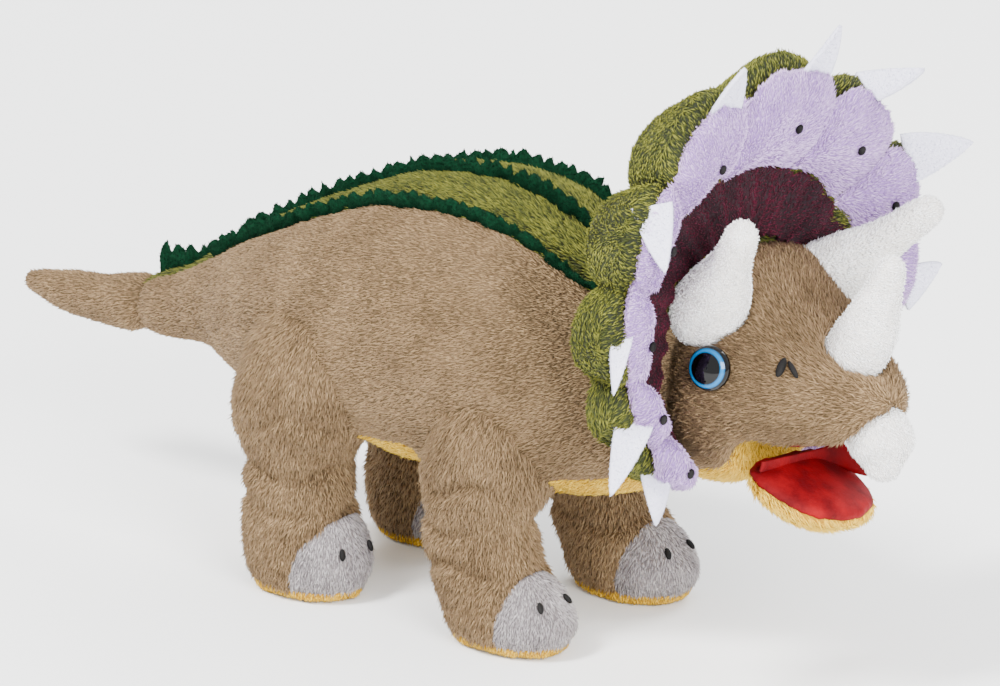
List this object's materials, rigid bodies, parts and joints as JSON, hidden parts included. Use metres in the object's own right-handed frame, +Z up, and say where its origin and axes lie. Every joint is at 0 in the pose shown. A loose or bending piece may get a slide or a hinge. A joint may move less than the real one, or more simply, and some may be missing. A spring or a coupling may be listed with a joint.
{
  "type": "stuffed toy triceratops",
  "caption": "Standing plush triceratops with a scalloped frill, felt spikes, stuffed horns, saw-toothed felt strips along the back, an open mouth and four stuffed legs.",
  "frame": {"origin": "on the floor under the middle of the standing animal, at the middle of its box in plan", "axes": "+X the way the animal faces, +Y its left, +Z up"},
  "size_m": [0.3334, 0.1698, 0.1965],
  "materials": {
    "taupe_plush": "short-pile taupe polyester plush",
    "olive_plush": "olive-green polyester plush with a longer, two-tone pile",
    "yellow_plush": "short-pile yellow polyester plush",
    "grey_plush": "short-pile grey polyester plush",
    "lavender_plush": "short-pile lavender polyester plush",
    "maroon_velour": "low-pile maroon velour, pleated",
    "white_plush": "short-pile white polyester plush",
    "green_felt": "dark green felt, saw-toothed edge",
    "pale_felt": "pale lavender-white felt",
    "red_lining": "smooth brushed red polyester",
    "eye_plastic": "glossy domed eye, black with a blue ring",
    "filling": "polyester fibre filling"
  },
  "bodies": {
    "torso": {"body_left": "taupe_plush", "body_right": "taupe_plush", "back_left": "olive_plush", "back_right": "olive_plush", "belly": "yellow_plush", "body_filling": "filling", "spine_felt": "green_felt", "row_felt_left": "green_felt", "row_felt_right": "green_felt"},
    "tail": {"tail_cover": "taupe_plush", "tail_filling": "filling"},
    "leg_front_left": {"leg_front_left": "taupe_plush", "toe_cap_front_left": "grey_plush", "sole_front_left": "yellow_plush"},
    "leg_front_right": {"leg_front_right": "taupe_plush", "toe_cap_front_right": "grey_plush", "sole_front_right": "yellow_plush"},
    "leg_hind_left": {"leg_hind_left": "taupe_plush", "toe_cap_hind_left": "grey_plush", "sole_hind_left": "yellow_plush"},
    "leg_hind_right": {"leg_hind_right": "taupe_plush", "toe_cap_hind_right": "grey_plush", "sole_hind_right": "yellow_plush"},
    "head": {"head_left": "taupe_plush", "head_right": "taupe_plush", "throat": "yellow_plush", "mouth_roof": "red_lining", "beak": "white_plush", "nose_horn": "white_plush", "brow_horn_left": "white_plush", "brow_horn_right": "white_plush", "eye_left": "eye_plastic", "eye_right": "eye_plastic", "head_filling": "filling", "frill_back": "olive_plush", "frill_inner": "maroon_velour", "frill_lobe_01": "lavender_plush", "frill_spike_01": "pale_felt", "frill_lobe_02": "lavender_plush", "frill_spike_02": "pale_felt", "frill_lobe_03": "lavender_plush", "frill_spike_03": "pale_felt", "frill_lobe_04": "lavender_plush", "frill_spike_04": "pale_felt", "frill_lobe_05": "lavender_plush", "frill_spike_05": "pale_felt", "frill_lobe_06": "lavender_plush", "frill_spike_06": "pale_felt", "frill_lobe_07": "lavender_plush", "frill_spike_07": "pale_felt", "frill_lobe_08": "lavender_plush", "frill_spike_08": "pale_felt", "frill_lobe_09": "lavender_plush", "frill_spike_09": "pale_felt", "frill_lobe_10": "lavender_plush", "frill_spike_10": "pale_felt", "frill_lobe_11": "lavender_plush", "frill_spike_11": "pale_felt"},
    "jaw": {"jaw_cover": "yellow_plush", "jaw_lining": "red_lining"}
  },
  "joints": [
    {"name": "hip_front_left", "type": "hinge", "parent": "torso", "child": "leg_front_left", "pos_m": [0.0352, 0.02511, 0.061], "axis": [0, 1, 0], "range_deg": [-15, 15], "stiffness_Nm_per_rad": 0.35},
    {"name": "hip_front_right", "type": "hinge", "parent": "torso", "child": "leg_front_right", "pos_m": [0.0352, -0.03288, 0.061], "axis": [0, 1, 0], "range_deg": [-15, 15], "stiffness_Nm_per_rad": 0.35},
    {"name": "hip_hind_left", "type": "hinge", "parent": "torso", "child": "leg_hind_left", "pos_m": [-0.0308, 0.02511, 0.071], "axis": [0, 1, 0], "range_deg": [-15, 15], "stiffness_Nm_per_rad": 0.35},
    {"name": "hip_hind_right", "type": "hinge", "parent": "torso", "child": "leg_hind_right", "pos_m": [-0.0308, -0.03288, 0.071], "axis": [0, 1, 0], "range_deg": [-15, 15], "stiffness_Nm_per_rad": 0.35},
    {"name": "tail_wag", "type": "hinge", "parent": "torso", "child": "tail", "pos_m": [-0.1158, -0.00388, 0.06389], "axis": [0, 0, 1], "range_deg": [-20, 20], "stiffness_Nm_per_rad": 0.06},
    {"name": "head_turn", "type": "hinge", "parent": "torso", "child": "head", "pos_m": [0.0832, -0.00388, 0.087], "axis": [0, 0, 1], "range_deg": [-12, 12], "stiffness_Nm_per_rad": 0.25},
    {"name": "jaw_hinge", "type": "hinge", "parent": "head", "child": "jaw", "pos_m": [0.12323, -0.00541, 0.07116], "axis": [-0.0173, 0.9901, -0.1392], "range_deg": [-14, 6], "stiffness_Nm_per_rad": 0.05}
  ]
}
